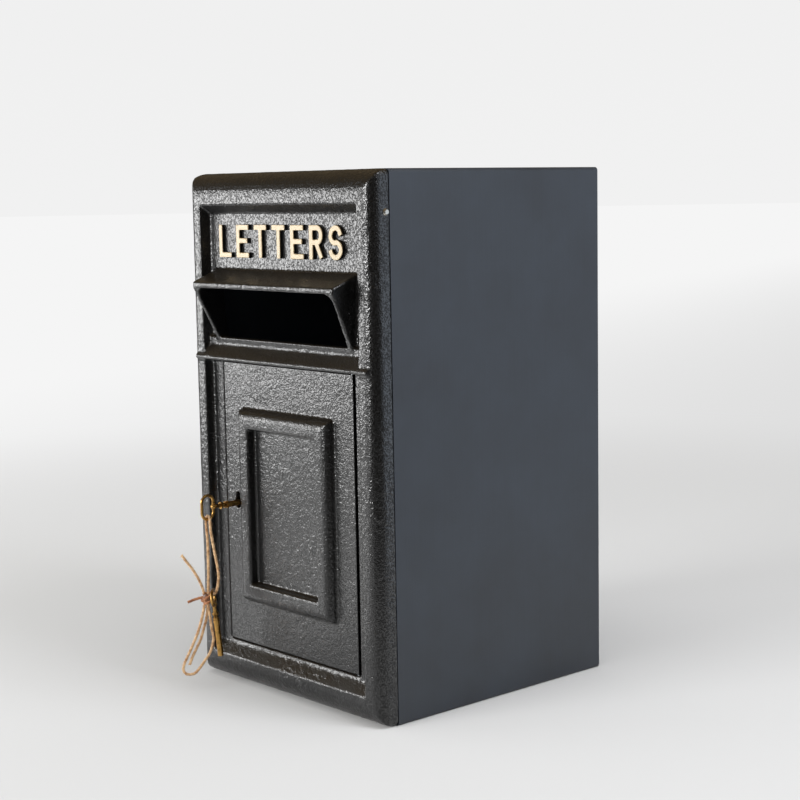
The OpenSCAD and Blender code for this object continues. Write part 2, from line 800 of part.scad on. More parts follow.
// A cord along a route, with a round section and flat ends
module cord(route, d) {
    last = len(route) - 1;
    points = [for (i = [0:last]) each ring(route, i, d / 2, twine_sides)];
    sides = [
        for (i = [0:last - 1], k = [0:twine_sides - 1])
            let (n = (k + 1) % twine_sides, a = i * twine_sides, b = a + twine_sides)
            each [[a + k, a + n, b + n], [a + k, b + n, b + k]]
    ];
    start = [for (k = [twine_sides - 1:-1:0]) k];
    end = [for (k = [0:twine_sides - 1]) last * twine_sides + k];
    polyhedron(points = points, faces = concat([start], sides, [end]));
}

// The knot: three turns of twine round a tight middle
module twine_knot() {
    color(jute) tied() translate(knot_at) rotate([0, 20, spare_turn]) {
        for (turn = [-1:1]) translate([0, 0, turn * twine_d * 0.9])
            rotate_extrude($fn = 32) translate([3.6, 0]) circle(d = twine_d, $fn = 16);
        translate([0, 0, -4.6]) cylinder(r1 = 2.6, r2 = 3.6, h = 4.6);
        cylinder(r1 = 3.6, r2 = 2.6, h = 4.6);
    }
}

module twine_loop() { color(jute) tied() cord(loop_route, twine_d); }
module twine_bow() { color(jute) tied() cord(bow_route, twine_d); }
module twine_low_tail() { color(jute) tied() cord(low_tail_route, twine_d); }
module twine_high_tail() { color(jute) tied() cord(high_tail_route, twine_d); }
module twine_stub() { color(jute) tied() cord(stub_route, twine_d); }

front_casting();
body_wrap();
back_plate();
fixing_lugs();
side_screws();
bottom_screws();
upper_hinge_pin();
lower_hinge_pin();
door_casting();
lock_plate();
lock_case();
lock_ward();
drill_pin();
guide_post();
bolt_spring();
lock_screws();
lock_bolt();
door_key();
spare_key();
twine_knot();
twine_loop();
twine_bow();
twine_low_tail();
twine_high_tail();
twine_stub();
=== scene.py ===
"""A letter box: a black cast-iron front with a hooded slot and a locked door, on a folded
sheet-steel body. It follows the box as it is put together. Metres, in the CAD frame."""

import math

import bmesh
import bpy
from mathutils import Matrix, Vector


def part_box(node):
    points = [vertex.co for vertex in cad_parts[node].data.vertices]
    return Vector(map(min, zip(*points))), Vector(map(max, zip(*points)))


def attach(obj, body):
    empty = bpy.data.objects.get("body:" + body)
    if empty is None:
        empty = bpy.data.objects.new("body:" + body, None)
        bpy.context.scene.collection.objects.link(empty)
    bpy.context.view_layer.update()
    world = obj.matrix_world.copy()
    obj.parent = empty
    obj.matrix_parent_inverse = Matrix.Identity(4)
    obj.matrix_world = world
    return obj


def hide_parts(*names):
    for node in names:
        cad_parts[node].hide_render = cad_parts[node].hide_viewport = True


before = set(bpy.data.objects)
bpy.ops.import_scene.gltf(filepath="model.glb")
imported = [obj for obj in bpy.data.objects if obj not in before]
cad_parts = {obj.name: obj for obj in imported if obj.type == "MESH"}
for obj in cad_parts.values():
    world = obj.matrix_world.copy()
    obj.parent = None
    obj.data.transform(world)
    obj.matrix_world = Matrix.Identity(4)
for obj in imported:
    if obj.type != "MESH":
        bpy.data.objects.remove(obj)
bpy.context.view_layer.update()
MM = 0.001

# The photographer's place
# The camera stood to the right of the box and a little above it, with a long lens.
# Its place and its tilt come from the box's own edges in the photograph.
VIEW_FROM = Vector((1.120, -1.0045, 0.4316))
VIEW_AZIMUTH = math.radians(48.25)
VIEW_ELEVATION = math.radians(7.03)
VIEW_ROLL = math.radians(-1.02)
VIEW_LENS = 76.05
VIEW_SENSOR = 36
VIEW_NEAREST = 10 * MM

back = Vector((
    math.sin(VIEW_AZIMUTH) * math.cos(VIEW_ELEVATION),
    -math.cos(VIEW_AZIMUTH) * math.cos(VIEW_ELEVATION),
    math.sin(VIEW_ELEVATION),
))
level_right = (-back).cross(Vector((0, 0, 1))).normalized()
level_up = level_right.cross(-back)
right = math.cos(VIEW_ROLL) * level_right + math.sin(VIEW_ROLL) * level_up
up = math.cos(VIEW_ROLL) * level_up - math.sin(VIEW_ROLL) * level_right
camera = bpy.data.objects.new("camera", bpy.data.cameras.new("camera"))
bpy.context.scene.collection.objects.link(camera)
facing = Matrix((right, up, back)).transposed().to_4x4()
camera.matrix_world = Matrix.Translation(VIEW_FROM) @ facing
camera.data.lens = VIEW_LENS
camera.data.sensor_width = VIEW_SENSOR
camera.data.clip_start = VIEW_NEAREST
bpy.context.scene.camera = camera

# The twine that ties the keys together
# Natural jute, 2.5 mm thick, laid from three plies: dull, hairy and pale straw, browner
# where it is handled. One loop goes through the bow of the door key, and is tied in a bow.
TWINE_D = 2.5 * MM
TWINE_LAY = 9 * MM
TWINE_STEP = 0.7 * MM
PLY_OUT = 0.26
PLY_R = 0.27
PLY_SIDES = 8
ROUTE_STEP = 0.8 * MM
HAIR_L = 3.0 * MM
HAIR_D = 0.09 * MM
HAIRS_PER_M2 = 170000
HAIR_SHORTEST = 0.35
HAIR_LEAN = 1.3
HAIR_SPIN = 6.3
JUTE_PALE = "#dcb98c"
JUTE_DARK = "#94602f"
JUTE_HANDLED_PALE = "#ab7043"
JUTE_HANDLED_DARK = "#6f3a1a"
JUTE_BLOTCH = 3.85 * MM
JUTE_FIBRE = 0.3125 * MM
JUTE_FIBRE_H = 0.3 * MM
LOOP_ROUTE = [
    (-71.4, -169.8, 86), (-71, -169.6, 95), (-71, -169, 105), (-71.5, -168.5, 115),
    (-72, -168, 125), (-73, -167.5, 134), (-74.5, -167, 142), (-75, -167, 148),
    (-74.6, -167, 152.5), (-73, -167, 154.4), (-71, -167, 154.4), (-69.4, -167, 152.5),
    (-69, -167, 148), (-68.5, -167, 142), (-67, -166.5, 133), (-65.5, -165.5, 122),
    (-64, -164.5, 112), (-63, -164, 103), (-63.5, -164.5, 95), (-64.2, -165.1, 91),
    (-64.9, -165.8, 88), (-66.2, -167, 86.7), (-67.3, -168.1, 86.6), (-68.6, -169.3, 85.6),
]
BOW_ROUTE = [
    (-72.4, -172.8, 79), (-73.6, -174, 70), (-75.2, -175.4, 62), (-77, -178, 52),
    (-80, -181, 42), (-83, -184, 33), (-86, -187, 24), (-86.5, -188, 18), (-84, -186, 14.5),
    (-80, -181, 15), (-77, -177, 20), (-74, -174, 26), (-71, -171, 32), (-69, -169, 39),
    (-68, -168, 47), (-69, -169, 56), (-69.6, -169.6, 65), (-69.6, -171, 73),
    (-69.4, -171.4, 79),
]
LOW_TAIL_ROUTE = [
    (-72.6, -169.6, 79), (-73.2, -169.8, 72), (-74, -171, 63), (-75.5, -173, 54),
    (-77.5, -175, 45), (-80, -178, 37), (-82.5, -181, 29), (-84, -183, 22.5),
]
HIGH_TAIL_ROUTE = [
    (-73.4, -172.4, 86), (-74.6, -174, 93), (-76, -176.5, 100), (-79, -180, 108),
    (-82, -184, 115), (-85, -187, 121),
]
STUB_ROUTE = [(-74, -173, 83), (-77, -177, 82), (-80, -181, 80.5), (-82, -184, 79)]
KNOT_AT = Vector((-71, -171, 82)) * MM
KNOT_TURNS = 3.4
KNOT_R = 4.6 * MM
KNOT_TALL = 7.5 * MM
KNOT_SWAY = 1.6 * MM
KNOT_WOBBLE = 1.55
KNOT_FACING = math.radians(48)
KNOT_POINTS = 100


def linear(hex_colour, alpha=1.0):
    """The linear colour that an sRGB hex value stands for."""
    parts = [int(hex_colour[i:i + 2], 16) / 255 for i in (1, 3, 5)]
    return [c / 12.92 if c <= 0.04045 else ((c + 0.055) / 1.055) ** 2.4 for c in parts] + [alpha]


def add(tree, kind, inputs=None, **settings):
    """Adds a node with its settings, its values and its links."""
    made = tree.nodes.new(kind)
    for name, value in settings.items():
        setattr(made, name, value)
    for key, value in (inputs or {}).items():
        if isinstance(value, bpy.types.NodeSocket):
            tree.links.new(value, made.inputs[key])
        else:
            made.inputs[key].default_value = value
    return made


def new_material(name):
    """An empty material, its tree and its output."""
    material = bpy.data.materials.new(name)
    material.use_nodes = True
    tree = material.node_tree
    tree.nodes.clear()
    return material, tree, tree.nodes.new("ShaderNodeOutputMaterial")


def new_object(name, data):
    """A new object in the scene, at the origin."""
    made = bpy.data.objects.new(name, data)
    bpy.context.scene.collection.objects.link(made)
    return made


def through(points, step):
    """Points `step` apart along a smooth line through the points of a route."""
    ends = [points[0] * 2 - points[1]] + points + [points[-1] * 2 - points[-2]]
    line = []
    for a, b, c, d in zip(ends, ends[1:], ends[2:], ends[3:]):
        count = max(1, round((c - b).length / step))
        for i in range(count):
            t = i / count
            line.append(0.5 * (
                2 * b + (c - a) * t + (2 * a - 5 * b + 4 * c - d) * t * t
                + (3 * b - a - 3 * c + d) * t * t * t
            ))
    return line + [points[-1]]


def line_object(name, lines):
    """One open poly curve for each line of points."""
    data = bpy.data.curves.new(name, "CURVE")
    data.dimensions = "3D"
    for line in lines:
        spline = data.splines.new("POLY")
        spline.points.add(len(line) - 1)
        for point, place in zip(spline.points, line):
            point.co = (*place, 1)
    return new_object(name, data)


def give_nodes(piece, tree, values):
    """A Geometry Nodes modifier, with its inputs set by identifier."""
    modifier = piece.modifiers.new(tree.name, "NODES")
    modifier.node_group = tree
    sockets = {s.name: s.identifier for s in tree.interface.items_tree if s.in_out == "INPUT"}
    for name, value in values.items():
        modifier[sockets[name]] = value
    return modifier


def settled(piece, name):
    """The piece with its modifiers worked out, as a plain mesh in a new object."""
    view = bpy.context.evaluated_depsgraph_get()
    view.update()
    mesh = bpy.data.meshes.new_from_object(piece.evaluated_get(view), depsgraph=view)
    mesh.name = name
    bpy.data.objects.remove(piece)
    return new_object(name, mesh)


def smooth(piece):
    """Smooth shading all over."""
    for face in piece.data.polygons:
        face.use_smooth = True
    return piece


def node_tree(name, sockets):
    """An empty Geometry Nodes tree with a geometry in and out, and the named inputs."""
    tree = bpy.data.node_groups.new(name, "GeometryNodeTree")
    tree.interface.new_socket("Geometry", in_out="INPUT", socket_type="NodeSocketGeometry")
    for label, kind in sockets:
        tree.interface.new_socket(label, in_out="INPUT", socket_type=kind)
    tree.interface.new_socket("Geometry", in_out="OUTPUT", socket_type="NodeSocketGeometry")
    return tree, add(tree, "NodeGroupInput"), add(tree, "NodeGroupOutput")


def laid_twine_tree():
    """Three plies that wind round the line they follow."""
    tree, given, out = node_tree("laid twine", [
        ("Diameter", "NodeSocketFloat"), ("Lay", "NodeSocketFloat"),
        ("Material", "NodeSocketMaterial"),
    ])
    line = add(tree, "GeometryNodeResampleCurve", {
        "Curve": given.outputs[0], "Length": TWINE_STEP,
    }, mode="LENGTH")
    along = add(tree, "GeometryNodeSplineParameter")
    normal = add(tree, "GeometryNodeInputNormal")
    tangent = add(tree, "GeometryNodeInputTangent")
    across = add(tree, "ShaderNodeVectorMath", {
        0: tangent.outputs[0], 1: normal.outputs[0],
    }, operation="CROSS_PRODUCT")
    turns = add(tree, "ShaderNodeMath", {
        0: along.outputs["Length"], 1: given.outputs["Lay"],
    }, operation="DIVIDE")
    out_by = add(tree, "ShaderNodeMath", {
        0: given.outputs["Diameter"], 1: PLY_OUT,
    }, operation="MULTIPLY")
    ply_r = add(tree, "ShaderNodeMath", {
        0: given.outputs["Diameter"], 1: PLY_R,
    }, operation="MULTIPLY")
    section = add(tree, "GeometryNodeCurvePrimitiveCircle", {
        "Resolution": PLY_SIDES, "Radius": ply_r.outputs[0],
    })
    joined = add(tree, "GeometryNodeJoinGeometry")
    for ply in range(3):
        angle = add(
            tree, "ShaderNodeMath", {0: turns.outputs[0], 1: 2 * math.pi, 2: ply * 2 * math.pi / 3},
            operation="MULTIPLY_ADD",
        )
        cosine = add(tree, "ShaderNodeMath", {0: angle.outputs[0]}, operation="COSINE")
        sine = add(tree, "ShaderNodeMath", {0: angle.outputs[0]}, operation="SINE")
        first = add(tree, "ShaderNodeVectorMath", {
            0: normal.outputs[0], "Scale": cosine.outputs[0],
        }, operation="SCALE")
        second = add(tree, "ShaderNodeVectorMath", {
            0: across.outputs[0], "Scale": sine.outputs[0],
        }, operation="SCALE")
        both = add(tree, "ShaderNodeVectorMath", {
            0: first.outputs[0], 1: second.outputs[0],
        }, operation="ADD")
        shift = add(tree, "ShaderNodeVectorMath", {
            0: both.outputs[0], "Scale": out_by.outputs[0],
        }, operation="SCALE")
        wound = add(tree, "GeometryNodeSetPosition", {
            "Geometry": line.outputs[0], "Offset": shift.outputs[0],
        })
        tube = add(
            tree, "GeometryNodeCurveToMesh",
            {"Curve": wound.outputs[0], "Profile Curve": section.outputs[0], "Fill Caps": True},
        )
        tree.links.new(tube.outputs[0], joined.inputs[0])
    real = add(tree, "GeometryNodeRealizeInstances", {0: joined.outputs[0]})
    done = add(tree, "GeometryNodeSetMaterial", {
        0: real.outputs[0], "Material": given.outputs["Material"],
    })
    tree.links.new(done.outputs[0], out.inputs[0])
    return tree


def hair_tree():
    """Loose fibres that stand off the twine, as jute's do."""
    tree, given, out = node_tree("jute fibres", [
        ("Density", "NodeSocketFloat"), ("Length", "NodeSocketFloat"),
        ("Thickness", "NodeSocketFloat"), ("Material", "NodeSocketMaterial"),
    ])
    spots = add(
        tree, "GeometryNodeDistributePointsOnFaces",
        {"Mesh": given.outputs[0], "Density": given.outputs["Density"], "Seed": 4},
    )
    half = add(tree, "ShaderNodeMath", {0: given.outputs["Length"], 1: 0.5}, operation="MULTIPLY")
    tip = add(tree, "ShaderNodeCombineXYZ", {"Z": given.outputs["Length"]})
    bulge = add(tree, "ShaderNodeCombineXYZ", {"X": half.outputs[0], "Z": half.outputs[0]})
    fibre = add(
        tree, "GeometryNodeCurveQuadraticBezier",
        {"Resolution": 4, "Start": (0, 0, 0), "Middle": bulge.outputs[0], "End": tip.outputs[0]},
    )
    section = add(tree, "GeometryNodeCurvePrimitiveCircle", {
        "Resolution": 3, "Radius": given.outputs["Thickness"],
    })
    hair = add(tree, "GeometryNodeCurveToMesh", {
        "Curve": fibre.outputs[0], "Profile Curve": section.outputs[0],
    })
    lean = add(tree, "FunctionNodeRandomValue", {
        "Min": (-HAIR_LEAN, -HAIR_LEAN, 0), "Max": (HAIR_LEAN, HAIR_LEAN, HAIR_SPIN), "Seed": 9,
    }, data_type="FLOAT_VECTOR")
    size = add(tree, "FunctionNodeRandomValue", {
        2: HAIR_SHORTEST, 3: 1.0, "Seed": 2,
    }, data_type="FLOAT")
    turn = add(
        tree, "FunctionNodeRotateEuler",
        {"Rotation": spots.outputs["Rotation"], "Rotate By": lean.outputs[0]}, space="LOCAL",
    )
    placed = add(tree, "GeometryNodeInstanceOnPoints", {
        "Points": spots.outputs["Points"], "Instance": hair.outputs[0], "Rotation": turn.outputs[0],
        "Scale": size.outputs[1],
    })
    real = add(tree, "GeometryNodeRealizeInstances", {0: placed.outputs[0]})
    done = add(tree, "GeometryNodeSetMaterial", {
        0: real.outputs[0], "Material": given.outputs["Material"],
    })
    tree.links.new(done.outputs[0], out.inputs[0])
    return tree


def jute(name, pale, dark):
    """Jute: matt plant fibre, streaked along the strand and uneven in colour."""
    material, tree, out = new_material(name)
    place = add(tree, "ShaderNodeTexCoord")
    tone = add(tree, "ShaderNodeTexNoise", {
        "Vector": place.outputs["Object"], "Scale": 1 / JUTE_BLOTCH, "Detail": 6,
    })
    fibre = add(tree, "ShaderNodeTexNoise", {
        "Vector": place.outputs["Object"], "Scale": 1 / JUTE_FIBRE, "Detail": 3,
    })
    both = add(tree, "ShaderNodeMath", {
        0: fibre.outputs["Fac"], 1: 0.45, 2: tone.outputs["Fac"],
    }, operation="MULTIPLY_ADD")
    ramp = add(tree, "ShaderNodeValToRGB", {"Fac": both.outputs[0]})
    ramp.color_ramp.elements[0].position = 0.5
    ramp.color_ramp.elements[0].color = linear(dark)
    ramp.color_ramp.elements[1].position = 0.85
    ramp.color_ramp.elements[1].color = linear(pale)
    bump = add(tree, "ShaderNodeBump", {
        "Height": fibre.outputs["Fac"], "Strength": 0.7, "Distance": JUTE_FIBRE_H,
    })
    shader = add(tree, "ShaderNodeBsdfPrincipled", {
        "Base Color": ramp.outputs["Color"], "Roughness": 0.85, "Sheen Weight": 0.4,
        "Sheen Roughness": 0.5, "Normal": bump.outputs["Normal"],
    })
    tree.links.new(shader.outputs[0], out.inputs[0])
    return material


pale_jute = jute("pale jute", JUTE_PALE, JUTE_DARK)
knot_jute = jute("handled jute", JUTE_HANDLED_PALE, JUTE_HANDLED_DARK)
laid_twine = laid_twine_tree()


def laid(name, lines, material):
    """Twine wound from three plies along each line, as a plain mesh."""
    piece = line_object(name + "_line", lines)
    give_nodes(piece, laid_twine, {"Diameter": TWINE_D, "Lay": TWINE_LAY, "Material": material})
    return smooth(settled(piece, name))


# The knot's turns are uneven, some pulled tighter than others, and climb as they go round.
knot_line = []
for step in range(KNOT_POINTS):
    t = step / (KNOT_POINTS - 1)
    angle = t * KNOT_TURNS * 2 * math.pi
    reach = KNOT_R * (0.75 + 0.3 * math.sin(KNOT_WOBBLE * angle))
    turn = Vector((
        reach * math.cos(angle),
        reach * 0.9 * math.sin(angle),
        (t - 0.5) * KNOT_TALL + KNOT_SWAY * math.sin(angle + 1),
    ))
    knot_line.append(KNOT_AT + Matrix.Rotation(KNOT_FACING, 3, "Z") @ turn)
stub_line = through([Vector(point) * MM for point in STUB_ROUTE], ROUTE_STEP)
knot = laid("tied_knot", [knot_line, stub_line], knot_jute)
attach(knot, "twine")
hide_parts("twine_knot", "twine_stub")

cords = [
    ("hanging_loop", "twine_loop", LOOP_ROUTE, "knot"),
    ("tied_bow", "twine_bow", BOW_ROUTE, "knot"),
    ("low_tail", "twine_low_tail", LOW_TAIL_ROUTE, "bare"),
    ("high_tail", "twine_high_tail", HIGH_TAIL_ROUTE, "bare"),
]
strands = []
for name, solid, route, far_end in cords:
    line = through([Vector(point) * MM for point in route], ROUTE_STEP)
    strand = laid(name, [line], pale_jute)
    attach(strand, "twine")
    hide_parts(solid)
    strands.append(strand)

hairy = new_object("hairy", bpy.data.meshes.new("hairy"))
everything = bmesh.new()
for strand in strands + [knot]:
    everything.from_mesh(strand.data)
everything.to_mesh(hairy.data)
everything.free()
give_nodes(hairy, hair_tree(), {
    "Density": HAIRS_PER_M2, "Length": HAIR_L, "Thickness": HAIR_D / 2, "Material": pale_jute,
})
fibres = settled(hairy, "loose_fibres")
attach(fibres, "twine")

# The two keys
# Cast brass, turned along the shank and drilled up the barrel. Brass gives warm, sharp
# highlights, and years in pockets leave it brown in the hollows and bright on the edges.
BRASS_BRIGHT = "#c69b58"
BRASS_BROWN = "#573a1c"
BRASS_PATCH = 4.17 * MM
BRASS_DENT_H = 0.2 * MM


def aged_brass():
    """Bare cast brass: smooth and golden where hands rub it, brown and duller elsewhere."""
    material, tree, out = new_material("aged brass")
    place = add(tree, "ShaderNodeTexCoord")
    patches = add(tree, "ShaderNodeTexNoise", {
        "Vector": place.outputs["Object"], "Scale": 1 / BRASS_PATCH, "Detail": 5,
        "Roughness": 0.65,
    })
    edges = add(tree, "ShaderNodeNewGeometry")
    worn = add(
        tree, "ShaderNodeMath", {0: edges.outputs["Pointiness"], 1: 0.6, 2: patches.outputs["Fac"]},
        operation="MULTIPLY_ADD",
    )
    ramp = add(tree, "ShaderNodeValToRGB", {"Fac": worn.outputs[0]})
    ramp.color_ramp.elements[0].position = 0.62
    ramp.color_ramp.elements[0].color = linear(BRASS_BROWN)
    ramp.color_ramp.elements[1].position = 0.84
    ramp.color_ramp.elements[1].color = linear(BRASS_BRIGHT)
    rough = add(
        tree, "ShaderNodeMapRange", {"Value": patches.outputs["Fac"], "To Min": 0.42, "To Max": 0.2}
    )
    bump = add(tree, "ShaderNodeBump", {
        "Height": patches.outputs["Fac"], "Strength": 0.25, "Distance": BRASS_DENT_H,
    })
    shader = add(tree, "ShaderNodeBsdfPrincipled", {
        "Base Color": ramp.outputs["Color"], "Metallic": 1.0, "Roughness": rough.outputs[0],
        "Normal": bump.outputs["Normal"],
    })
    tree.links.new(shader.outputs[0], out.inputs[0])
    return material


def finish_node(name, material):
    """Gives a CAD node its material, with its mesh as it is."""
    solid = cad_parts[name]
    solid.data.materials.clear()
    solid.data.materials.append(material)
    return solid


brass = aged_brass()
for name in ("door_key", "spare_key"):
    finish_node(name, brass)

# The front casting
# Grey iron poured in a sand mould, fettled, and brushed with black gloss. The sand leaves
# lumps and a fine orange-peel grain under the paint, and every corner comes out soft.
CAST_VOXEL = 1.2 * MM
SOFT_PASSES = 2
CAST_LUMP = 14 * MM
CAST_LUMP_H = 0.45 * MM
CAST_GRAIN = 3.5 * MM
CAST_GRAIN_H = 0.16 * MM
# The sand's own grain is about half as wide, and is drawn this coarse so that it shows.
SAND_GRAIN = 1.25 * MM
SAND_H = 0.2 * MM
PEEL = 2.6 * MM
PEEL_H = 0.3 * MM
CREASE = 6.67 * MM
CREASE_H = 1.2 * MM
PATCH = 41.7 * MM
CAST_BLACK = "#070707"
# Brown for the up-facing faces: partly settled dust, partly a painted warm reflection of the room's
# brown ceiling.
CAST_DUST_AND_SHEEN = "#3c3120"


def cast_surface_tree():
    """Moves the skin of a casting in and out, in broad lumps and in grain."""
    tree, given, out = node_tree("cast surface", [
        ("Lump size", "NodeSocketFloat"), ("Lump height", "NodeSocketFloat"),
        ("Grain size", "NodeSocketFloat"), ("Grain height", "NodeSocketFloat"),
        ("Material", "NodeSocketMaterial"),
    ])
    place = add(tree, "GeometryNodeInputPosition")
    normal = add(tree, "GeometryNodeInputNormal")
    heights = []
    for part in ("Lump", "Grain"):
        scale = add(
            tree, "ShaderNodeMath", {0: 1.0, 1: given.outputs[part + " size"]}, operation="DIVIDE"
        )
        noise = add(
            tree, "ShaderNodeTexNoise",
            {"Vector": place.outputs[0], "Scale": scale.outputs[0], "Detail": 2.0},
        )
        middle = add(tree, "ShaderNodeMath", {
            0: noise.outputs["Fac"], 1: 0.5,
        }, operation="SUBTRACT")
        heights.append(add(
            tree, "ShaderNodeMath", {0: middle.outputs[0], 1: given.outputs[part + " height"]},
            operation="MULTIPLY",
        ))
    height = add(tree, "ShaderNodeMath", {
        0: heights[0].outputs[0], 1: heights[1].outputs[0],
    }, operation="ADD")
    shift = add(tree, "ShaderNodeVectorMath", {
        0: normal.outputs[0], "Scale": height.outputs[0],
    }, operation="SCALE")
    moved = add(tree, "GeometryNodeSetPosition", {
        "Geometry": given.outputs[0], "Offset": shift.outputs[0],
    })
    real = add(tree, "GeometryNodeRealizeInstances", {0: moved.outputs[0]})
    done = add(tree, "GeometryNodeSetMaterial", {
        0: real.outputs[0], "Material": given.outputs["Material"],
    })
    tree.links.new(done.outputs[0], out.inputs[0])
    return tree


def black_gloss_on_iron():
    """Brushed gloss enamel on rough iron: black and wet-looking, its highlight broken up."""
    material, tree, out = new_material("black gloss on cast iron")
    place = add(tree, "ShaderNodeTexCoord")
    sand = add(tree, "ShaderNodeTexNoise", {
        "Vector": place.outputs["Object"], "Scale": 1 / SAND_GRAIN, "Detail": 0,
    })
    orange_peel = add(
        tree, "ShaderNodeTexNoise",
        {"Vector": place.outputs["Object"], "Scale": 1 / PEEL, "Detail": 1, "Roughness": 0.5},
    )
    patches = add(tree, "ShaderNodeTexNoise", {
        "Vector": place.outputs["Object"], "Scale": 1 / PATCH, "Detail": 3,
    })
    creases = add(tree, "ShaderNodeTexNoise", {
        "Vector": place.outputs["Object"], "Scale": 1 / CREASE, "Detail": 2, "Roughness": 0.5,
        "Distortion": 0.7,
    })
    creased = add(tree, "ShaderNodeMapRange", {
        "Value": patches.outputs["Fac"], "From Min": 0.48, "From Max": 0.64, "To Min": 0.0,
        "To Max": 0.8,
    })
    first = add(tree, "ShaderNodeBump", {
        "Height": creases.outputs["Fac"], "Strength": creased.outputs[0], "Distance": CREASE_H,
    })
    second = add(tree, "ShaderNodeBump", {
        "Height": orange_peel.outputs["Fac"], "Strength": 1.0, "Distance": PEEL_H,
        "Normal": first.outputs["Normal"],
    })
    third = add(tree, "ShaderNodeBump", {
        "Height": sand.outputs["Fac"], "Strength": 1.0, "Distance": SAND_H,
        "Normal": second.outputs["Normal"],
    })
    shape = add(tree, "ShaderNodeNewGeometry")
    facing = add(tree, "ShaderNodeSeparateXYZ", {"Vector": shape.outputs["Normal"]})
    # Up-facing faces turn brown in patches: partly settled dust, partly a painted warm reflection
    # of the brown ceiling.
    dust_and_sheen_on_top = add(tree, "ShaderNodeMapRange", {
        "Value": facing.outputs["Z"], "From Min": 0.2, "From Max": 0.9, "To Min": 0.0,
        "To Max": 0.4,
    })
    dust_and_sheen_patches = add(tree, "ShaderNodeMath", {
        0: dust_and_sheen_on_top.outputs[0], 1: patches.outputs["Fac"],
    }, operation="MULTIPLY")
    colour = add(
        tree, "ShaderNodeMix", {0: dust_and_sheen_patches.outputs[0], 6: linear(CAST_BLACK), 7: linear(CAST_DUST_AND_SHEEN)},
        data_type="RGBA",
    )
    speck = add(tree, "ShaderNodeMapRange", {
        "Value": sand.outputs["Fac"], "From Min": 0.4, "From Max": 0.6,
    })
    rough = add(tree, "ShaderNodeMapRange", {
        "Value": speck.outputs[0], "To Min": 0.45, "To Max": 0.28,
    })
    wet = add(tree, "ShaderNodeMapRange", {
        "Value": speck.outputs[0], "To Min": 0.05, "To Max": 1.0,
    })
    shader = add(tree, "ShaderNodeBsdfPrincipled", {
        "Base Color": colour.outputs[2], "Roughness": rough.outputs[0], "IOR": 1.5,
        "Coat Weight": wet.outputs[0], "Coat Roughness": 0.08,
        "Normal": third.outputs["Normal"], "Coat Normal": third.outputs["Normal"],
    })
    tree.links.new(shader.outputs[0], out.inputs[0])
    return material


def cast_skin(solid_name, name, lump_h, voxel):
    """A copy of a solid with the soft corners and the uneven skin of a sand casting."""
    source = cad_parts[solid_name]
    shape = bmesh.new()
    shape.from_mesh(source.data)
    bmesh.ops.remove_doubles(shape, verts=shape.verts, dist=0.01 * MM)
    mesh = bpy.data.meshes.new(name + "_rough")
    shape.to_mesh(mesh)
    shape.free()
    piece = new_object(name + "_rough", mesh)
    remesh = piece.modifiers.new("sand mould", "REMESH")
    remesh.mode = "VOXEL"
    remesh.voxel_size = voxel
    soften = piece.modifiers.new("soft corners", "SMOOTH")
    soften.factor = 0.5
    soften.iterations = SOFT_PASSES
    give_nodes(piece, cast_surface, {
        "Lump size": CAST_LUMP, "Lump height": lump_h,
        "Grain size": CAST_GRAIN, "Grain height": CAST_GRAIN_H,
        "Material": black_gloss,
    })
    return smooth(settled(piece, name))


cast_surface = cast_surface_tree()
black_gloss = black_gloss_on_iron()
front = cast_skin("front_casting", "cast_front", CAST_LUMP_H, CAST_VOXEL)
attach(front, "box")
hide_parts("front_casting")

# The raised word on the front
# Part of the casting, 3 mm proud with sloping sides. Only the faces are picked out, in
# cream-gold enamel by hand, so the paint is thick, a little ragged and worn in places.
WORD = "LETTERS"
WORD_LEFT = -86 * MM
WORD_RIGHT = 81 * MM
WORD_LOW = 377.5 * MM
WORD_HIGH = 406 * MM
WORD_PROUD = 3 * MM
STROKE = 4.7 * MM
STROKE_DRAFT = 0.5 * MM
STROKE_END = 0.45
LETTER_NARROW = 0.62
LETTER_INSET = 0.4
LETTER_VOXEL = 0.4 * MM
GOLD = "#c6b491"
GOLD_DARK = "#8a6434"
GOLD_SPECK = 1.429 * MM
GOLD_BRUSH_H = 0.25 * MM
GOLD_RAGGED = 0.7 * MM
PANEL_FROM_BACK = 11 * MM


def bend(cx, cy, rx, ry, start, end, steps=12):
    """Points along part of an oval, in a letter's own square."""
    angles = [math.radians(start + (end - start) * i / steps) for i in range(steps + 1)]
    return [(cx + rx * math.cos(a), cy + ry * math.sin(a)) for a in angles]


STROKES = {
    "L": [[(0, 1), (0, 0)], [(0, 0), (1, 0)]],
    "E": [[(0, 1), (0, 0)], [(0, 0), (1, 0)], [(0, 0.52), (0.85, 0.52)], [(0, 1), (1, 1)]],
    "T": [[(0, 1), (1, 1)], [(0.5, 1), (0.5, 0)]],
    "R": [
        [(0, 1), (0, 0)],
        [(0, 1), (0.6, 1)] + bend(0.6, 0.75, 0.4, 0.25, 90, -90) + [(0, 0.5)],
        [(0.5, 0.5), (0.95, 0.04)],
    ],
    "S": [
        bend(0.5, 0.74, 0.47, 0.26, 20, 180) + bend(0.5, 0.74, 0.5, 0.26, 180, 262)
        + bend(0.5, 0.26, 0.5, 0.25, 82, -60) + bend(0.5, 0.26, 0.5, 0.26, -60, -160),
    ],
}


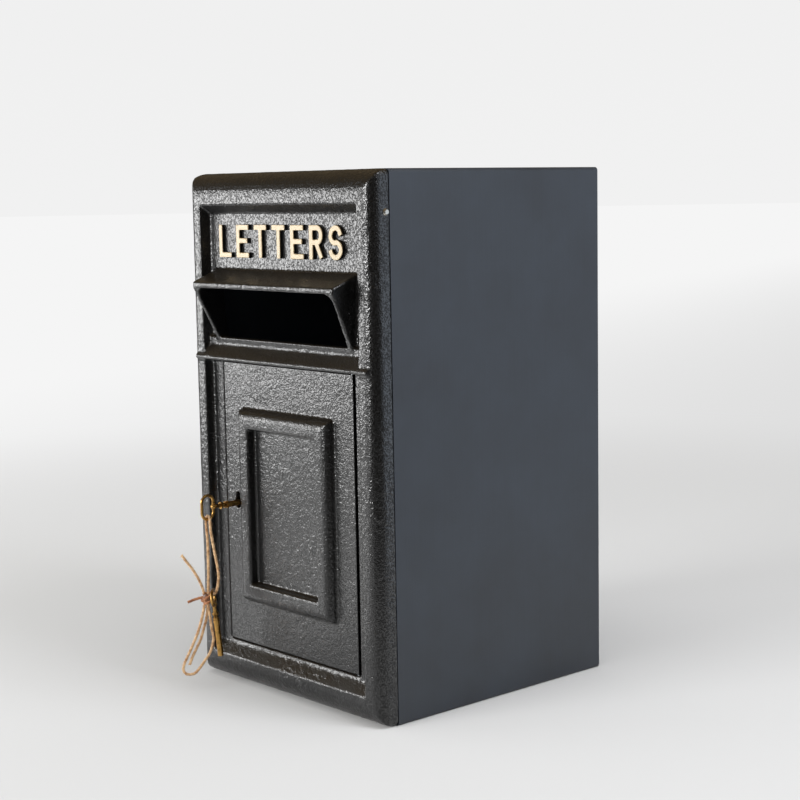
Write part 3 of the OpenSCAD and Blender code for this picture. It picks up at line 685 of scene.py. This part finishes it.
def stroke_tree():
    """Runs a stroke's section, wider at its foot than at its face, along its line."""
    tree, given, out = node_tree("cast stroke", [
        ("Foot", "NodeSocketFloat"), ("Face", "NodeSocketFloat"), ("Height", "NodeSocketFloat"),
        ("Material", "NodeSocketMaterial"),
    ])
    wide = add(tree, "ShaderNodeMath", {0: given.outputs["Foot"], 1: 0.5}, operation="MULTIPLY")
    narrow = add(tree, "ShaderNodeMath", {0: given.outputs["Face"], 1: 0.5}, operation="MULTIPLY")
    low = add(tree, "ShaderNodeMath", {0: given.outputs["Height"], 1: -0.5}, operation="MULTIPLY")
    foot, face = low.outputs[0], given.outputs["Height"]
    places = []
    for side, width, level in (
        (-1, wide, foot), (1, wide, foot), (1, narrow, face), (-1, narrow, face),
    ):
        across = add(tree, "ShaderNodeMath", {0: width.outputs[0], 1: side}, operation="MULTIPLY")
        places.append(add(tree, "ShaderNodeCombineXYZ", {"X": level, "Y": across.outputs[0]}))
    section = add(tree, "GeometryNodeCurvePrimitiveQuadrilateral", mode="POINTS")
    for index, place in enumerate(places):
        tree.links.new(place.outputs[0], section.inputs[f"Point {index + 1}"])
    upright = add(tree, "GeometryNodeSetCurveNormal", {
        "Curve": given.outputs[0], "Normal": (0, -1, 0),
    }, mode="FREE")
    swept = add(
        tree, "GeometryNodeCurveToMesh",
        {"Curve": upright.outputs[0], "Profile Curve": section.outputs[0], "Fill Caps": True},
    )
    real = add(tree, "GeometryNodeRealizeInstances", {0: swept.outputs[0]})
    done = add(tree, "GeometryNodeSetMaterial", {
        0: real.outputs[0], "Material": given.outputs["Material"],
    })
    tree.links.new(done.outputs[0], out.inputs[0])
    return tree


def picked_out_faces(face_y):
    """Black gloss with cream-gold enamel on what stands in front of a plane, darker on the faces'
    rims as painted shade.
    """
    material = black_gloss.copy()
    material.name = "gold enamel on cast letters"
    tree = material.node_tree
    out = next(n for n in tree.nodes if n.bl_idname == "ShaderNodeOutputMaterial")
    black = out.inputs[0].links[0].from_socket
    place = add(tree, "ShaderNodeTexCoord")
    axes = add(tree, "ShaderNodeSeparateXYZ", {"Vector": place.outputs["Object"]})
    ragged = add(tree, "ShaderNodeTexNoise", {
        "Vector": place.outputs["Object"], "Scale": 1 / GOLD_SPECK, "Detail": 4,
    })
    depth = add(
        tree, "ShaderNodeMath", {0: ragged.outputs["Fac"], 1: GOLD_RAGGED, 2: axes.outputs["Y"]},
        operation="MULTIPLY_ADD",
    )
    proud = add(tree, "ShaderNodeMapRange", {
        "Value": depth.outputs[0], "From Min": face_y + 1.1 * MM, "From Max": face_y + 0.9 * MM,
    })
    tone = add(tree, "ShaderNodeMix", {
        0: ragged.outputs["Fac"], 6: linear(GOLD_DARK), 7: linear(GOLD),
    }, data_type="RGBA")
    # The gold is full on the tops of the faces and darker on their rounded rims: painted shade at
    # the letters' edges. Its tone also varies at random.
    lit_top_shaded_rim = add(tree, "ShaderNodeMapRange", {
        "Value": depth.outputs[0], "From Min": face_y + 0.75 * MM, "From Max": face_y + 0.5 * MM,
        "To Min": 0.1, "To Max": 0.8,
    })
    gold_with_painted_rim_shade = add(tree, "ShaderNodeMix", {
        0: lit_top_shaded_rim.outputs[0], 6: tone.outputs[2], 7: linear(GOLD),
    }, data_type="RGBA")
    bump = add(tree, "ShaderNodeBump", {
        "Height": ragged.outputs["Fac"], "Strength": 0.35, "Distance": GOLD_BRUSH_H,
    })
    gold = add(tree, "ShaderNodeBsdfPrincipled", {
        "Base Color": gold_with_painted_rim_shade.outputs[2], "Roughness": 0.38, "Coat Weight": 0.2,
        "Normal": bump.outputs["Normal"],
    })
    both = add(tree, "ShaderNodeMixShader", {0: proud.outputs[0], 1: black, 2: gold.outputs[0]})
    tree.links.new(both.outputs[0], out.inputs[0])
    return material


# The letters stand on the sunk panel, whose plane is named here from the casting's box.
front_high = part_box("front_casting")[1]
panel_y = front_high.y - PANEL_FROM_BACK
face_y = panel_y - WORD_PROUD
letter_h = WORD_HIGH - WORD_LOW - STROKE
letter_w = letter_h * LETTER_NARROW - STROKE * LETTER_INSET
pitch = (WORD_RIGHT - WORD_LEFT - letter_w - STROKE) / (len(WORD) - 1)
letter_lines = []
for index, letter in enumerate(WORD):
    corner = Vector((WORD_LEFT + STROKE / 2 + index * pitch, 0, WORD_LOW + STROKE / 2))
    for stroke in STROKES[letter]:
        line = [
            Vector((corner.x + u * letter_w, panel_y, corner.z + v * letter_h)) for u, v in stroke
        ]
        line[0] += (line[0] - line[1]).normalized() * STROKE * STROKE_END
        line[-1] += (line[-1] - line[-2]).normalized() * STROKE * STROKE_END
        letter_lines.append(line)
word = line_object("word_lines", letter_lines)
gold_face = picked_out_faces(face_y)
give_nodes(word, stroke_tree(), {
    "Foot": STROKE + STROKE_DRAFT, "Face": STROKE - STROKE_DRAFT, "Height": WORD_PROUD,
    "Material": gold_face,
})
remesh = word.modifiers.new("one skin", "REMESH")
remesh.mode = "VOXEL"
remesh.voxel_size = LETTER_VOXEL
soften = word.modifiers.new("soft corners", "SMOOTH")
soften.factor = 0.5
soften.iterations = SOFT_PASSES
word = smooth(settled(word, "raised_word"))
word.data.materials.clear()
word.data.materials.append(gold_face)
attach(word, "box")

# The door
# A second casting, let into the front, with a half-round moulding raised on its face. It
# has the same paint, but flatter ground with wandering brush and sand marks.
DOOR_VOXEL = 1.0 * MM
DOOR_LUMP_H = 0.36 * MM
door = cast_skin("door_casting", "cast_door", DOOR_LUMP_H, DOOR_VOXEL)
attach(door, "door")
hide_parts("door_casting")

# The body
# One sheet of mild steel folded into a tube, with a tray spot-welded in for its back, and
# sprayed dark blue-grey. The paint is thin and even: satin, with faint streaks and marks.
BODY_BLUE = "#353b43"
BODY_DARK = "#2a2d32"
BODY_CLOUD = 71.4 * MM
STREAK_W = 1.11 * MM
STREAK_L = 111 * MM
SPRAY_PEEL = 1.11 * MM
SPRAY_PEEL_H = 0.1 * MM


def sprayed_steel():
    """Sprayed satin paint: an even dark blue-grey with soft clouds and upright streaks."""
    material, tree, out = new_material("satin paint on sheet steel")
    place = add(tree, "ShaderNodeTexCoord")
    cloud = add(tree, "ShaderNodeTexNoise", {
        "Vector": place.outputs["Object"], "Scale": 1 / BODY_CLOUD, "Detail": 5,
        "Roughness": 0.6,
    })
    upright = add(tree, "ShaderNodeMapping", {
        "Vector": place.outputs["Object"], "Scale": (1 / STREAK_W, 1 / STREAK_W, 1 / STREAK_L),
    })
    streak = add(tree, "ShaderNodeTexNoise", {
        "Vector": upright.outputs[0], "Scale": 1, "Detail": 3,
    })
    tone = add(
        tree, "ShaderNodeMath", {0: streak.outputs["Fac"], 1: 0.25, 2: cloud.outputs["Fac"]},
        operation="MULTIPLY_ADD",
    )
    ramp = add(tree, "ShaderNodeValToRGB", {"Fac": tone.outputs[0]})
    ramp.color_ramp.elements[0].position = 0.35
    ramp.color_ramp.elements[0].color = linear(BODY_DARK)
    ramp.color_ramp.elements[1].position = 0.9
    ramp.color_ramp.elements[1].color = linear(BODY_BLUE)
    peel = add(tree, "ShaderNodeTexNoise", {
        "Vector": place.outputs["Object"], "Scale": 1 / SPRAY_PEEL, "Detail": 2,
    })
    bump = add(tree, "ShaderNodeBump", {
        "Height": peel.outputs["Fac"], "Strength": 0.08, "Distance": SPRAY_PEEL_H,
    })
    rough = add(tree, "ShaderNodeMapRange", {
        "Value": cloud.outputs["Fac"], "To Min": 0.32, "To Max": 0.46,
    })
    shader = add(tree, "ShaderNodeBsdfPrincipled", {
        "Base Color": ramp.outputs["Color"], "Roughness": rough.outputs[0], "IOR": 1.5,
        "Normal": bump.outputs["Normal"],
    })
    tree.links.new(shader.outputs[0], out.inputs[0])
    return material


body_paint = sprayed_steel()
for name in ("body_wrap", "back_plate", "fixing_lugs"):
    finish_node(name, body_paint)

# Screws, pins and the lock
# Small steel parts: zinc-plated screws, drawn hinge pins, and a pressed lock whose plate
# and case are bright with a fine grain from rolling. They are inside, or seen end on.
ZINC = "#c9c6bd"
STEEL = "#8f9295"
SPRING = "#4b5260"
ROLLED_W = 0.4 * MM
ROLLED_L = 8.33 * MM
ROLLED_H = 0.05 * MM


def steel(name, colour, roughness):
    """Bright steel with a fine grain."""
    material, tree, out = new_material(name)
    place = add(tree, "ShaderNodeTexCoord")
    drawn = add(tree, "ShaderNodeMapping", {
        "Vector": place.outputs["Object"], "Scale": (1 / ROLLED_W, 1 / ROLLED_W, 1 / ROLLED_L),
    })
    grain = add(tree, "ShaderNodeTexNoise", {"Vector": drawn.outputs[0], "Scale": 1, "Detail": 3})
    rough = add(tree, "ShaderNodeMapRange", {
        "Value": grain.outputs["Fac"], "To Min": roughness * 0.8, "To Max": roughness * 1.3,
    })
    bump = add(tree, "ShaderNodeBump", {
        "Height": grain.outputs["Fac"], "Strength": 0.12, "Distance": ROLLED_H,
    })
    shader = add(tree, "ShaderNodeBsdfPrincipled", {
        "Base Color": linear(colour), "Metallic": 1.0, "Roughness": rough.outputs[0],
        "Normal": bump.outputs["Normal"],
    })
    tree.links.new(shader.outputs[0], out.inputs[0])
    return material


zinc = steel("zinc plate", ZINC, 0.28)
plain_steel = steel("bright steel", STEEL, 0.35)
spring_steel = steel("blued spring steel", SPRING, 0.3)
for name in ("side_screws", "bottom_screws", "lock_screws"):
    finish_node(name, zinc)
for name in (
    "upper_hinge_pin", "lower_hinge_pin", "lock_plate", "lock_case", "lock_ward", "drill_pin",
    "guide_post", "lock_bolt",
):
    finish_node(name, plain_steel)
finish_node("bolt_spring", spring_steel)

# The studio
# A pale paper floor that runs out of sight, two low softboxes and a white card on the left
# that draw the sheen on the iron, and two soft lights above, on the right and overhead.
PAPER = "#d3d3d2"
PAPER_SHADE = "#dedede"
PAPER_LIGHT = "#f5f5f5"
PAPER_REACH = 40.0
PAPER_NEAR = 0.5
PAPER_FAR = 1.8
MIRROR_NEAR = 0.35
MIRROR_FAR = 1.1
PAPER_SLANT = (1.04, 0.41, 0.0)
ROOM_DARK = "#2e2b27"
WINDOW = "#dbe6f5"
WINDOW_AT = (0.743, 0.669, 0.0)
WINDOW_LEVEL = 1.3
CEILING = "#6f6048"
EVEN_LIGHT = "#f0efee"
EVEN_LEVEL = 0.72
SWEEP_LOW = "#f1f1f1"
SWEEP_HIGH = "#f0f0f0"


def room_walls(tree, direction):
    """What a gloss sees round the box: a dark room, with a window behind on the right."""
    level = add(tree, "ShaderNodeVectorMath", {0: direction, 1: (1, 1, 0)}, operation="MULTIPLY")
    towards = add(tree, "ShaderNodeVectorMath", {0: level.outputs[0]}, operation="NORMALIZE")
    turned = add(tree, "ShaderNodeVectorMath", {
        0: towards.outputs[0], 1: WINDOW_AT,
    }, operation="DOT_PRODUCT")
    window = add(tree, "ShaderNodeMapRange", {
        "Value": turned.outputs["Value"], "From Min": 0.9, "From Max": 0.99,
    })
    bright = add(tree, "ShaderNodeVectorMath", {
        0: linear(WINDOW)[:3], "Scale": WINDOW_LEVEL,
    }, operation="SCALE")
    return add(
        tree, "ShaderNodeMix", {0: window.outputs[0], 6: linear(ROOM_DARK), 7: bright.outputs[0]},
        data_type="RGBA",
    ).outputs[2]


def paper():
    """Matt paper. Further off it glows in painted light and shade, and a gloss sees the room."""
    material, tree, out = new_material("studio paper")
    place = add(tree, "ShaderNodeTexCoord")
    flat = add(tree, "ShaderNodeBsdfDiffuse", {"Color": linear(PAPER), "Roughness": 0.5})
    distance = add(tree, "ShaderNodeVectorMath", {0: place.outputs["Object"]}, operation="LENGTH")
    # Far off, the paper's glow is lighter to the left and front and darker to the right and back:
    # painted light, and a painted soft shadow of the box.
    slant = add(tree, "ShaderNodeVectorMath", {
        0: place.outputs["Object"], 1: PAPER_SLANT,
    }, operation="DOT_PRODUCT")
    painted_shadow_side = add(tree, "ShaderNodeMapRange", {
        "Value": slant.outputs["Value"], "From Min": -2.2, "From Max": 0.3,
    }, interpolation_type="SMOOTHSTEP")
    tone = add(
        tree, "ShaderNodeMix", {0: painted_shadow_side.outputs[0], 6: linear(PAPER_LIGHT), 7: linear(PAPER_SHADE)},
        data_type="RGBA",
    )
    lit = add(tree, "ShaderNodeEmission", {"Color": tone.outputs[2]})
    far = add(tree, "ShaderNodeMapRange", {
        "Value": distance.outputs["Value"], "From Min": PAPER_NEAR, "From Max": PAPER_FAR,
    }, interpolation_type="SMOOTHSTEP")
    rays = add(tree, "ShaderNodeLightPath")
    seen = add(tree, "ShaderNodeMath", {
        0: far.outputs[0], 1: rays.outputs["Is Camera Ray"],
    }, operation="MULTIPLY")
    sweep = add(
        tree, "ShaderNodeMixShader", {0: seen.outputs[0], 1: flat.outputs[0], 2: lit.outputs[0]}
    )
    walls = add(tree, "ShaderNodeEmission", {"Color": room_walls(tree, place.outputs["Object"])})
    ends = add(tree, "ShaderNodeMapRange", {
        "Value": distance.outputs["Value"], "From Min": MIRROR_NEAR, "From Max": MIRROR_FAR,
    }, interpolation_type="SMOOTHSTEP")
    mirrored = add(tree, "ShaderNodeMath", {
        0: ends.outputs[0], 1: rays.outputs["Is Glossy Ray"],
    }, operation="MULTIPLY")
    mixed = add(tree, "ShaderNodeMixShader", {
        0: mirrored.outputs[0], 1: sweep.outputs[0], 2: walls.outputs[0],
    })
    tree.links.new(mixed.outputs[0], out.inputs[0])
    return material


floor_shape = bmesh.new()
bmesh.ops.create_circle(floor_shape, cap_ends=True, segments=64, radius=PAPER_REACH)
floor_mesh = bpy.data.meshes.new("floor")
floor_shape.to_mesh(floor_mesh)
floor_shape.free()
floor = new_object("floor", floor_mesh)
floor.data.materials.append(paper())


def soft_light(name, place, aim, size, power, colour="#ffffff"):
    """A softbox: its place, what it faces, its width and height, and its watts."""
    lamp = bpy.data.lights.new(name, "AREA")
    lamp.shape = "RECTANGLE"
    lamp.size, lamp.size_y = size
    lamp.energy = power
    lamp.color = linear(colour)[:3]
    made = new_object(name, lamp)
    made.location = place
    made.rotation_euler = (Vector(place) - Vector(aim)).to_track_quat("Z", "Y").to_euler()
    made.visible_camera = False
    return made


soft_light("left softbox", (-1.6, -1.2, 0.34), (0, 0, 0.34), (1.3, 0.68), 16)
soft_light("front softbox", (-0.28, -1.98, 0.55), (0, 0, 0.55), (0.9, 0.6), 24)
soft_light("white card", (-0.5, -0.55, 0.003), (-0.5, -0.55, 1), (0.75, 0.75), 1.2)
soft_light("right fill", (1.0, 0.15, 1.1), (0.1, 0.1, 0.3), (0.6, 0.9), 9, "#f7f9ff")
soft_light("overhead", (0.2, -0.3, 3.2), (0, 0, 0.2), (1.6, 1.6), 10).visible_glossy = False

world = bpy.data.worlds.new("studio")
bpy.context.scene.world = world
world.use_nodes = True
tree = world.node_tree
tree.nodes.clear()
direction = add(tree, "ShaderNodeTexCoord").outputs["Generated"]
axes = add(tree, "ShaderNodeSeparateXYZ", {"Vector": direction})
rise = add(tree, "ShaderNodeMapRange", {
    "Value": axes.outputs["Z"], "From Min": 0.1, "From Max": 0.5,
})
room = add(
    tree, "ShaderNodeMix", {0: rise.outputs[0], 6: room_walls(tree, direction), 7: linear(CEILING)},
    data_type="RGBA",
)
high = add(tree, "ShaderNodeMapRange", {
    "Value": axes.outputs["Z"], "From Min": 0.0, "From Max": 0.09,
})
sweep = add(tree, "ShaderNodeMix", {
    0: high.outputs[0], 6: linear(SWEEP_LOW), 7: linear(SWEEP_HIGH),
}, data_type="RGBA")
dim = add(tree, "ShaderNodeBackground", {"Color": room.outputs[2], "Strength": 1.0})
even = add(tree, "ShaderNodeBackground", {"Color": linear(EVEN_LIGHT), "Strength": EVEN_LEVEL})
seen = add(tree, "ShaderNodeBackground", {"Color": sweep.outputs[2], "Strength": 1.0})
rays = add(tree, "ShaderNodeLightPath")
mirrored = add(tree, "ShaderNodeMixShader", {
    0: rays.outputs["Is Glossy Ray"], 1: even.outputs[0], 2: dim.outputs[0],
})
mixed = add(tree, "ShaderNodeMixShader", {
    0: rays.outputs["Is Camera Ray"], 1: mirrored.outputs[0], 2: seen.outputs[0],
})
add(tree, "ShaderNodeOutputWorld", {0: mixed.outputs[0]})
bpy.context.scene.view_settings.view_transform = "Standard"
